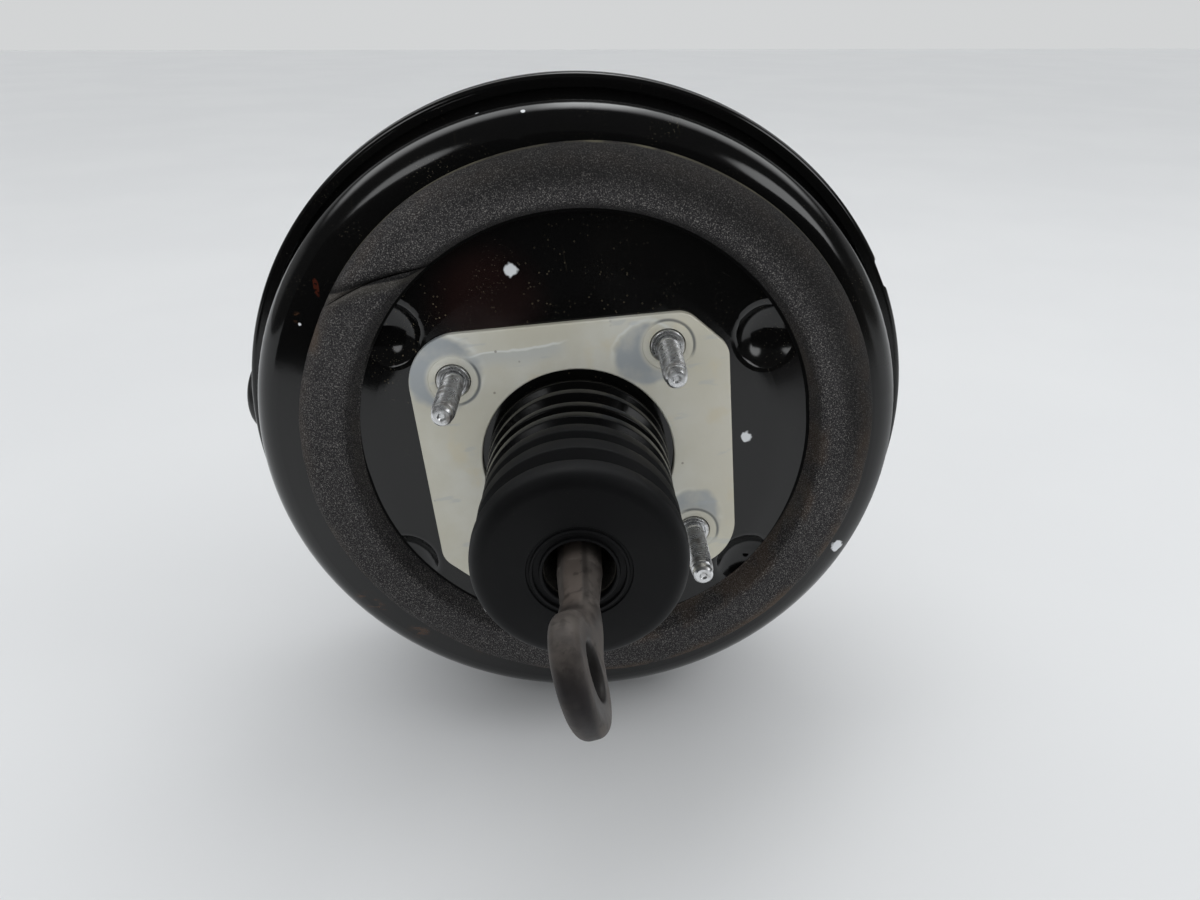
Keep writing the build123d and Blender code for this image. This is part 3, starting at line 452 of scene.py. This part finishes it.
# Mesh making: bmesh shapes in millimetres, written out in metres
def closed(profile, roundings, segments):              # a closed outline of (radius, station) with rounded corners
    shape = bmesh.new()
    corners = [shape.verts.new((r, y, 0)) for r, y in profile]
    for first, second in zip(corners, corners[1:] + corners[:1]):
        shape.edges.new((first, second))
    places = [corner.co.copy() for corner in corners]
    count = len(corners)
    for index, rounding in roundings.items():
        before = (places[index - 1] - places[index]).normalized()
        after = (places[(index + 1) % count] - places[index]).normalized()
        turn = pi - before.angle(after)
        bmesh.ops.bevel(
            shape,
            geom=[corners[index]],
            offset=rounding * tan(turn / 2),
            segments=segments,
            profile=0.5,
            affect="VERTICES",
            material=-1,
        )
    return shape


def turned(shape, steps):                              # spins an outline about the booster's axis
    bmesh.ops.spin(
        shape,
        geom=shape.verts[:] + shape.edges[:],
        cent=(0, 0, 0),
        axis=(0, 1, 0),
        angle=2 * pi,
        steps=steps,
        use_merge=True,
        use_duplicate=False,
    )
    bmesh.ops.remove_doubles(shape, verts=shape.verts, dist=0.0005)
    return shape


def joined(*shapes):                                   # several closed shapes in one mesh
    whole = bmesh.new()
    for shape in shapes:
        part = bpy.data.meshes.new("part")
        shape.to_mesh(part)
        shape.free()
        whole.from_mesh(part)
        bpy.data.meshes.remove(part)
    return whole


def written(shape, name, slot, sharp):                 # a mesh object at the origin, in metres
    bmesh.ops.scale(shape, vec=(mm, mm, mm), verts=shape.verts)
    bmesh.ops.recalc_face_normals(shape, faces=shape.faces)
    mesh = bpy.data.meshes.new(name)
    shape.to_mesh(mesh)
    shape.free()
    mesh.shade_smooth()
    mesh.set_sharp_from_angle(angle=radians(sharp))
    mesh.materials.append(looks[slot])
    piece = bpy.data.objects.new(name, mesh)
    bpy.context.scene.collection.objects.link(piece)
    return piece


# Foam gasket: a strip bent round, off centre on the casing, its ends meeting in a slanting joint
gasket = {
    "section": [(84.4, 0.0), (84.4, -0.35), (85.3, -0.5), (87.4, -12.0), (108.6, -12.0), (109.6, 0.0)],
    "rounds": {3: 2.6, 4: 8.5},
    "thick": 12.0,
    "squeeze": 0.5,                                    # how much thinner it is once glued on
    "inner": 85.3,
    "outer": 109.6,
    "flat": 76.0,                                      # the casing's face is flat out to here, then slopes
    "face": 2.5,
    "slope": tan(radians(11.7)),
    "sink": 0.25,
    "steps": 480,
    "cuts": (16, 5),                                   # across the top and down the sides
    "crowding": 0.93,                                  # draws the steps together at the joint
    "joint": (122.4, 89.0, 0.86, 0.002, 0.15),         # degrees at a radius, per mm, per mm squared, and the gap
    "lips": (((1.5, 2.4), (-1.3, 0.55)), ((-1.5, 2.6), (-0.8, 0.6))),    # rises and spreads beside the joint
    "lipShare": 0.49,                                  # of the way round, because the steps are crowded
    "softness": ((0.055, 0.55, 0), (0.21, 0.22, 9)),   # scale, height and seed of the top's swells
    "waves": ((2.2, 0.6, 3), (9, 0.35, 5)),            # the same of the outline: broad, and fine at the top
    "oval": (0.8, 50),                                 # how far it bulges to one side, and where
    "dents": [(146, 15, 1.5), (-135, 24, 2.0)],        # degrees, spread, depth
    "topPull": (2.4, 0.7),                             # the inner edge sits farther out at the top
    "pull": (305, 22, 1.4),                            # and at these degrees, with its spread and depth
}


def foamRing():
    g = gasket
    strip = closed(g["section"], g["rounds"], 10)
    bmesh.ops.spin(
        strip,
        geom=strip.verts[:] + strip.edges[:],
        cent=(0, 0, 0),
        axis=(0, 1, 0),
        angle=2 * pi * 0.9999,
        steps=g["steps"],
        use_merge=False,
        use_duplicate=False,
    )
    across = [e for e in strip.edges if abs(hypot(*e.verts[0].co.xz) - hypot(*e.verts[1].co.xz)) > 6]
    bmesh.ops.subdivide_edges(strip, edges=across, cuts=g["cuts"][0], use_grid_fill=True)
    upright = [e for e in strip.edges if abs(e.verts[0].co.y - e.verts[1].co.y) > 4]
    bmesh.ops.subdivide_edges(strip, edges=upright, cuts=g["cuts"][1], use_grid_fill=True)
    bmesh.ops.holes_fill(strip, edges=[e for e in strip.edges if e.is_boundary], sides=0)
    start, reach, turn, bow, gap = g["joint"]
    for vert in strip.verts:
        r = hypot(vert.co.x, vert.co.z)
        part = (-atan2(vert.co.z, vert.co.x) % (2 * pi)) / (2 * pi)
        part -= g["crowding"] * sin(2 * pi * part) / (2 * pi)
        depth = -vert.co.y / g["thick"]
        angle = start + (r - reach) * turn + (r - reach) ** 2 * bow + gap / 2 + part * (360 - gap)
        heading = Vector((cos(radians(angle)), sin(radians(angle))))
        lift = 0
        for share, lips in zip((part, 1 - part), g["lips"]):
            away = 2 * pi * share * r * g["lipShare"]
            lift += sum(rise * exp(-(away / spread) ** 2) for rise, spread in lips)
        soft = 0
        for scale, height, seed in g["softness"]:
            soft += noise.noise(Vector((*heading * r, seed)) * scale) * height
        wave = 0
        for (scale, height, seed), share in zip(g["waves"], (1, depth)):
            wave += noise.noise(Vector((*heading * scale, seed))) * height * share
        outward = (r - g["inner"]) / (g["outer"] - g["inner"])
        bulge, heavy = g["oval"]
        r += outward * (bulge * cos(radians(angle + heavy)) + wave)
        for middle, spread, dent in g["dents"]:
            off = (angle - middle + 180) % 360 - 180
            r -= outward * dent * exp(-(off / spread) ** 2)
        top, fall = g["topPull"]
        middle, spread, deep = g["pull"]
        inward = (top + depth) * max(0, sin(radians(angle))) ** fall + depth * 0.8
        r += (1 - outward) * (inward + deep * exp(-((angle % 360 - middle) / spread) ** 2))
        vert.co.x = heading.x * r + gasketCentre[0]
        vert.co.z = heading.y * r + gasketCentre[1]
        slope = max(0, hypot(vert.co.x, vert.co.z) - g["flat"]) * g["slope"]
        vert.co.y = g["face"] + slope - g["sink"] - depth * (g["thick"] - soft - g["squeeze"] + lift)
    return written(strip, "foamRing", "foam", 60)


foam = foamRing()
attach(foam, "housing")
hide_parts("foam_gasket")
foam.visible_glossy = False                            # the paint beside it mirrors the floor instead
print("gasket done", len(foam.data.polygons))


# Dust boot: bellows on the housing, which in the booster crush as the piston goes in, and a cap that rides with the
# piston
boot = {
    "neck": 27.1,
    "foot": (29.1, 0.4, -0.6, -2.6),                   # radius, front, web and lip stations
    "lands": [                                         # each fold's outer radius and its two edges
        (34.0, -1.6, -5.2),
        (33.7, -11.0, -14.8),
        (33.5, -22.0, -25.4),
        (33.3, -29.8, -33.8),
        (33.4, -39.6, -44.8),
        (33.9, -51.3, -58.0),
    ],
    "valleys": [28.8, 28.8, 28.8, 28.9, 28.9, 29.2],
    "footRounds": (0.5, 0.7),
    "peakRound": 0.75,
    "valleyRound": 0.85,
    "innerRound": 0.4,
    "wall": 1.2,
    "tuck": (34.6, -66.8, 0.9),                        # where the last fold meets the cap, and its rounding
    "tuckDepth": 0.8,
    "steps": 216,
}
bootCap = {
    "profile": [
        (11.35, -74.1),
        (11.35, -76.5),
        (12.4, -76.5),
        (12.55, -75.3),
        (14.45, -75.3),
        (14.6, -76.5),
        (15.4, -76.5),
        (15.55, -75.8),
        (16.45, -75.8),
        (16.6, -76.5),
        (34.3, -76.5),
        (34.6, -66.7),
        (32.0, -67.3),
        (31.9, -69.1),
        (22.3, -73.2),
        (22.3, -65.2),
        (19.85, -65.2),
        (19.85, -74.1),
    ],
    "rounds": {1: 0.5, **dict.fromkeys(range(2, 10), 0.25), 10: 5.5, 11: 0.9, 12: 0.5},
}


def bellows():
    b = boot
    radius, front, web, lip = b["foot"]
    tuckRadius, tuck, tuckRound = b["tuck"]
    wall = b["wall"]
    outside = [(radius, front), (radius, web)]
    inside = [(b["neck"], front), (b["neck"], lip)]
    rounds = dict(enumerate(b["footRounds"]))          # which corner is rounded, and by how much
    innerRounds = {}
    following = [near for _, near, _ in b["lands"][1:]] + [tuck]
    for (peak, near, far), valley, after in zip(b["lands"], b["valleys"], following):
        middle = (far + after) / 2
        lean = wall * tan(atan2(peak - valley, far - middle) / 2)
        for r, y in ((peak, near), (peak, far), (valley, middle)):
            rounds[len(outside)] = b["valleyRound"] if r == valley else b["peakRound"]
            outside.append((r, y))
        ridge, trough = peak - wall, valley - wall
        for r, y in ((ridge, near - lean), (ridge, far + lean), (trough, middle + lean), (trough, middle - lean)):
            innerRounds[len(inside)] = b["innerRound"]
            inside.append((r, y))
    rounds[len(outside)] = tuckRound
    outside.append((tuckRadius, tuck))
    inside.append((tuckRadius - wall, tuck - b["tuckDepth"]))
    last = len(outside) + len(inside) - 1
    for number, rounding in innerRounds.items():       # the inside runs backwards
        rounds[last - number] = rounding
    shape = turned(closed(outside + inside[::-1], rounds, 4), b["steps"])
    return written(shape, "bootBellows", "boot_rubber", 60)


def cap():
    shape = turned(closed(bootCap["profile"], bootCap["rounds"], 6), boot["steps"])
    return written(shape, "bootCap", "boot_rubber", 50)


bellowsPiece = bellows()
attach(bellowsPiece, "housing")
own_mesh(bellowsPiece)
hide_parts("dust_boot")
capPiece = cap()
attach(capPiece, "power_piston")
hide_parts("dust_boot")
print("boot done")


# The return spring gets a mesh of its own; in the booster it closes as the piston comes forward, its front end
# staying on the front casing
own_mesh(nodes["return_spring"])


# Studs: turned core with a collar and a dog point, and a rolled thread wound round it
thread = {
    "core": 3.55,
    "crest": 4.2,
    "root": 0.25,                                      # the ridge starts this far inside the core
    "shape": (0.0, 0.42, 0.58, 1.0),                   # root, crest, crest, root, as shares of the pitch
    "pitch": 1.25,
    "steps": 40,
    "turn": 1.7,                                       # each stud is screwed in at another angle
}
wallStud = {
    "places": [(side * studOffset, height * studOffset) for side in (-1, 1) for height in (-1, 1)],
    "profile": [
        (0, 7.1),
        (8.5, 7.1),
        (8.5, 4.1),
        (4.95, 4.1),
        (4.95, 0.6),
        (6.15, 0.6),
        (6.15, -0.9),
        (4.75, -1.35),
        (4.35, -0.3),
        (3.95, -0.3),
        (3.95, -3.2),
        (thread["core"], -4.0),
        (thread["core"], -26.9),
        (4.1, -27.4),
        (4.1, -28.0),
        (3.6, -28.5),
        (3.6, -31.2),
        (2.9, -32.0),
        (1.5, -32.0),
        (0.9, -31.4),
        (0, -31.4),
    ],
    "rounds": {1: 0.5, 6: 0.55, 7: 0.35, 14: 0.3, 17: 0.25},
    "thread": (-3.0, -27.6),                           # from and to these stations
    "away": -1,                                        # towards the pedal
}
flange = {
    "profile": [(6.45, 2.4), (6.45, -0.2), (9.0, -0.2), (9.35, 0.2), (9.35, 2.4)],
    "rounds": {1: 0.35, 2: 0.4},
    "steps": 64,
}
cylinderStud = {
    "places": [(-45, 0), (45, 0)],
    "profile": [
        (0, 98.2),
        (7.5, 98.2),
        (7.5, 101.2),
        (4.8, 101.2),
        (4.8, 105.9),
        (thread["core"], 106.4),
        (thread["core"], 130.2),
        (2.95, 131.0),
        (0, 131.0),
    ],
    "rounds": {1: 0.5, 7: 0.3},
    "thread": (106.6, 130.6),
    "away": 1,
}


def wound(start, end, away):                           # a closed ridge wound from start to end
    pitch, low = thread["pitch"], thread["core"] - thread["root"]
    turns = abs(end - start) / pitch - 1
    ridge = bmesh.new()
    corners = []
    for r, share in zip((low, thread["crest"], thread["crest"], low), thread["shape"]):
        corners.append(ridge.verts.new((r, start + away * share * pitch, 0)))
    for first, second in zip(corners, corners[1:] + corners[:1]):
        ridge.edges.new((first, second))
    bmesh.ops.spin(
        ridge,
        geom=ridge.verts[:] + ridge.edges[:],
        cent=(0, 0, 0),
        axis=(0, 1, 0),
        dvec=(0, away * pitch / thread["steps"], 0),
        angle=2 * pi * turns,
        steps=int(thread["steps"] * turns),
        use_merge=False,
        use_duplicate=False,
    )
    bmesh.ops.holes_fill(ridge, edges=[e for e in ridge.edges if e.is_boundary], sides=4)
    return ridge


def studSet(name, kind):
    made = []
    for number, (x, z) in enumerate(kind["places"]):
        core = turned(closed(kind["profile"], kind["rounds"], 3), 48)
        both = joined(core, wound(*kind["thread"], kind["away"]))
        screwed = Matrix.Rotation(number * thread["turn"], 3, "Y")
        bmesh.ops.rotate(both, verts=both.verts, cent=(0, 0, 0), matrix=screwed)
        bmesh.ops.translate(both, verts=both.verts, vec=(x, 0, z))
        made.append(both)
    return written(joined(*made), name, "stud_steel", 32)


def flanges():                                         # pressed, plated with the plate and proud of it by a hair
    made = []
    for x, z in wallStud["places"]:
        disc = turned(closed(flange["profile"], flange["rounds"], 4), flange["steps"])
        bmesh.ops.translate(disc, verts=disc.verts, vec=(x, 0, z))
        made.append(disc)
    return written(joined(*made), "studFlanges", "zinc_plate", 50)


wallStuds = studSet("mountingStuds", wallStud)
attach(wallStuds, "housing")
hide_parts("firewall_studs")
flangePiece = flanges()
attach(flangePiece, "housing")
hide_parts("firewall_studs")
cylinderStuds = studSet("cylinderStuds", cylinderStud)
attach(cylinderStuds, "housing")
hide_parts("master_studs")
print("studs done")


# The rolled rim's outer skin, a hair proud of the front casing, with the flats where it is staked
rim = {
    "section": [(131.8, 36.16), (134.04, 36.16), (134.04, 45.94), (131.8, 45.94)],
    "rounds": {1: 2.3, 2: 2.3},
    "steps": 720,
    "flats": (17.6, 197.6, 287.6),
    "flatWidth": 13.0,
    "flatRadius": 132.94,
}


def rimSkin():
    skin = turned(closed(rim["section"], rim["rounds"], 8), rim["steps"])
    for turn in rim["flats"]:
        outward = Vector((cos(radians(turn)), 0, sin(radians(turn))))
        sideways = Vector((-outward.z, 0, outward.x))
        for vert in skin.verts:
            past = vert.co.dot(outward) - rim["flatRadius"]
            if past > 0 and abs(vert.co.dot(sideways)) < rim["flatWidth"] / 2:
                vert.co -= outward * past
    return written(skin, "rimSkin", "black_paint", 35)


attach(rimSkin(), "housing")
print("rim done")


# Input rod: the forging's hard edges melted together
def smoothForging():
    shape = bmesh.new()
    shape.from_mesh(nodes["input_rod"].data)
    bmesh.ops.remove_doubles(shape, verts=shape.verts, dist=forging["weld"])
    mesh = bpy.data.meshes.new("pedalRod")
    shape.to_mesh(mesh)
    shape.free()
    rod = bpy.data.objects.new("pedalRod", mesh)
    bpy.context.scene.collection.objects.link(rod)
    remesh = rod.modifiers.new("melt", "REMESH")
    remesh.mode = "VOXEL"
    remesh.voxel_size = forging["voxel"]
    smooth = rod.modifiers.new("soften", "SMOOTH")
    smooth.iterations = forging["passes"]
    smooth.factor = forging["strength"]
    bpy.context.view_layer.update()
    finished = bpy.data.meshes.new_from_object(rod.evaluated_get(bpy.context.evaluated_depsgraph_get()))
    rod.modifiers.clear()
    rod.data = finished
    rod.data.name = "pedalRod"
    rod.data.materials.clear()
    rod.data.materials.append(looks["forged_steel"])
    rod.data.shade_smooth()
    return rod


pedalRod = smoothForging()
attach(pedalRod, "pedal_rod")
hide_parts("input_rod")
print("rod done", len(pedalRod.data.polygons))


# Floor, light and camera. The booster leans a little on its rim, so the floor leans in its frame
studio = {
    "upward": Vector((0.163, 0, 0.987)),
    "rim": 0.134,
    "floorSize": 6,
    "floorShades": ((0.742, 0.750, 0.762, 1), (0.762, 0.770, 0.780, 1)),
    "eye": Vector((0.0262, -0.3057, 0.1548)),
    "right": Vector((0.9863, -0.0247, -0.1632)),
    "ahead": Vector((-0.0514, 0.8937, -0.4457)),
    "lens": 27.0,
    "lamps": (                                         # place, width and height, power
        ("ceilingPanel", (0.1, 0.3, 1.7), (1.9, 0.5), 6),
        ("sidePanel", (1.3, -0.3, 0.9), (0.6, 0.6), 3),
    ),
    "sky": (0.978, 0.993, 1, 1),
    "diffuse": 0.84,
    "seen": 0.665,
    "room": 0.040,                                     # from here on as mirrored in paint
    "backdrop": 0.18,
    "windows": (                                       # direction, cosines of its edge, level
        (Vector((0.80, -0.50, 0.34)), 0.980, 0.955, 3.0),
        (Vector((-0.49, -0.63, 0.60)), 0.988, 0.970, 2.6),
    ),
    "flag": (Vector((0, -0.50, 0.12)), (1.0, 0.30)),
}


def standing(location, direction):                     # a matrix that looks along direction, upright to the floor
    back = -direction.normalized()
    side = studio["upward"].cross(back).normalized()
    return Matrix.Translation(location) @ Matrix((side, back.cross(side), back)).transposed().to_4x4()


def square(name, size, material):
    shape = bmesh.new()
    bmesh.ops.create_grid(shape, x_segments=1, y_segments=1, size=size)
    mesh = bpy.data.meshes.new(name)
    shape.to_mesh(mesh)
    shape.free()
    mesh.materials.append(material)
    sheet = bpy.data.objects.new(name, mesh)
    bpy.context.scene.collection.objects.link(sheet)
    return sheet


def floorSheet():
    board = Board("paleFloor")
    colour = board.blend(board.grain(3, 3).steps(0.35, 0.7), *studio["floorShades"])
    floor = square("floor", studio["floorSize"], board.finish(Base_Color=colour, Roughness=0.6))
    up = studio["upward"].normalized()
    floor.matrix_world = Matrix.Translation(-up * studio["rim"]) @ up.to_track_quat("Z", "Y").to_matrix().to_4x4()


def darkScreen():                                      # a black flag behind the camera, seen only in gloss
    cloth = Board("darkCloth").finish(Base_Color=grey(0.006), Roughness=1.0, Specular_IOR_Level=0.0)
    screen = square("darkScreen", 1, cloth)
    place, (width, height) = studio["flag"]
    screen.matrix_world = standing(place, Vector((0, 1, 0))) @ Matrix.Diagonal((width, height, 1, 1))
    screen.visible_camera = screen.visible_diffuse = screen.visible_shadow = False


def lamp(name, location, size, power):                 # a panel aimed at the booster, not seen in mirrors
    light = bpy.data.lights.new(name, "AREA")
    light.shape = "RECTANGLE"
    light.size, light.size_y = size
    light.energy = power
    lit = bpy.data.objects.new(name, light)
    bpy.context.scene.collection.objects.link(lit)
    lit.matrix_world = standing(Vector(location), -Vector(location))
    lit.visible_glossy = False


def surroundings():                                    # even light; in mirrors a dim room, a strip and two windows
    world = bpy.data.worlds.new("studio")
    board = Board("studio", world, "Generated")
    x, y, _ = board.axes()
    seen = board.add("ShaderNodeLightPath", out="Is Camera Ray")
    shine = board.add("ShaderNodeLightPath", out="Is Glossy Ray")
    height = board.vectors("DOT_PRODUCT", board.place, studio["upward"])
    backdrop = y.steps(0.05, 0.30) * height.steps(0.36, 0.22) * studio["backdrop"]
    strip = y.steps(0.14, 0.46) * y.steps(0.74, 0.64) * height.steps(0.34, 0.50)
    strip = strip * (1.7 + x.steps(-0.05, 0.15) * x.steps(0.42, 0.24) * 2.4)
    room = backdrop + strip + studio["room"]
    for aim, near, far, level in studio["windows"]:
        room = room + board.vectors("DOT_PRODUCT", board.place, aim.normalized()).steps(far, near) * level
    level = room * shine + (1 - shine) * studio["diffuse"]
    level = level * (1 - seen) + seen * studio["seen"]
    light = board.add("ShaderNodeBackground", {}, {"Color": studio["sky"], "Strength": level})
    board.add("ShaderNodeOutputWorld", {}, {"Surface": light})
    bpy.context.scene.world = world


def viewpoint():
    camera = bpy.data.cameras.new("camera")
    camera.lens = studio["lens"]
    camera.sensor_width = 36
    viewer = bpy.data.objects.new("camera", camera)
    bpy.context.scene.collection.objects.link(viewer)
    back = -studio["ahead"].normalized()
    side = (studio["right"] - back * studio["right"].dot(back)).normalized()
    facing = Matrix((side, back.cross(side), back)).transposed().to_4x4()
    viewer.matrix_world = Matrix.Translation(studio["eye"]) @ facing
    bpy.context.scene.camera = viewer
    bpy.context.scene.view_settings.view_transform = "Standard"


floorSheet()
surroundings()
darkScreen()
for panel in studio["lamps"]:
    lamp(*panel)
viewpoint()
print("stage done")
